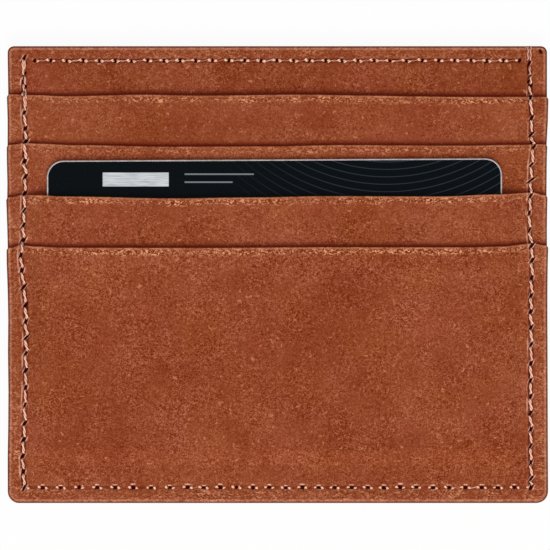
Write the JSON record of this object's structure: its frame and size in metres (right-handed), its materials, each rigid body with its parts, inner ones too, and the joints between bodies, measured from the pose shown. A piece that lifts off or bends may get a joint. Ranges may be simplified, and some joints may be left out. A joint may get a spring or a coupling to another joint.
{
  "type": "card wallet",
  "caption": "Slim flat leather card wallet with stepped card pockets on the face, a note pocket open at the top, sewn edges and a bank card that slides out of its pocket.",
  "frame": {"origin": "middle of the back face, on the surface that the wallet lies on", "axes": "+X to the right across the face, +Y towards the pocket mouths, +Z out of the face"},
  "size_m": [0.1016, 0.086, 0.008],
  "materials": {
    "leather": "waxed tan leather with worn, lighter edges",
    "lining": "fine brown woven lining",
    "thread": "twisted sewing thread",
    "card_plastic": "smooth satin print",
    "chip_metal": "gold-plated contacts",
    "stripe_film": "smooth magnetic film",
    "paper_film": "matt writing film"
  },
  "bodies": {
    "wallet": {"back_panel": "leather", "back_lining": "lining", "front_lining": "lining", "front_panel": "leather", "card_pocket_1": "leather", "card_pocket_2": "leather", "card_pocket_3": "leather", "card_pocket_4": "leather", "outer_seam_face_thread": "thread", "outer_seam_back_thread": "thread", "front_top_seam_face_thread": "thread", "front_top_seam_lining_thread": "thread", "back_top_seam_face_thread": "thread", "back_top_seam_lining_thread": "thread", "pocket_1_floor_face_thread": "thread", "pocket_1_floor_back_thread": "thread", "pocket_2_floor_face_thread": "thread", "pocket_2_floor_back_thread": "thread", "pocket_3_floor_face_thread": "thread", "pocket_3_floor_back_thread": "thread"},
    "card": {"card_body": "card_plastic", "card_chip": "chip_metal", "card_magnetic_stripe": "stripe_film", "card_signature_strip": "paper_film"}
  },
  "joints": [
    {"name": "card_slide", "type": "slide", "parent": "wallet", "child": "card", "axis": [0, 1, 0], "range_m": [0, 0.0475]}
  ]
}
